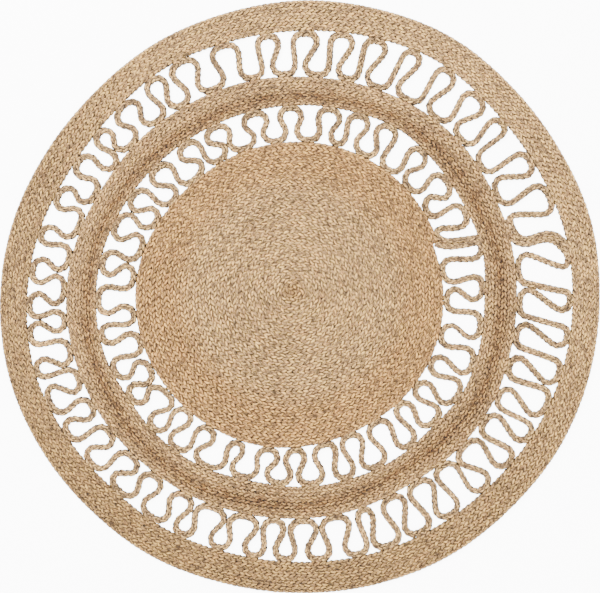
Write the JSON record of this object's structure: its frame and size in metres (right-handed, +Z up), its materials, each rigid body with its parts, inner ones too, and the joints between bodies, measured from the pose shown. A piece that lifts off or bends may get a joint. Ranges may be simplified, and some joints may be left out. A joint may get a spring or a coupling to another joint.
{
  "type": "round jute rug",
  "caption": "Flat round floor rug of sewn jute plait: a wound centre, a middle band and an outer border, joined by two open rings of plaited loops.",
  "frame": {"origin": "on the floor, under the middle of the rug's box", "axes": "+Z up out of the rug's face, +X to the right and +Y away from the reader in the view from above"},
  "size_m": [1.209, 1.195, 0.009],
  "materials": {
    "jute": "rough plaited fibre",
    "loop_jute": "rough plaited fibre",
    "brown_jute": "rough plaited fibre"
  },
  "bodies": {
    "root": {"centre_disc": "jute", "inner_loops": "loop_jute", "middle_band": "brown_jute", "outer_loops": "loop_jute", "outer_border": "jute"}
  },
  "joints": []
}
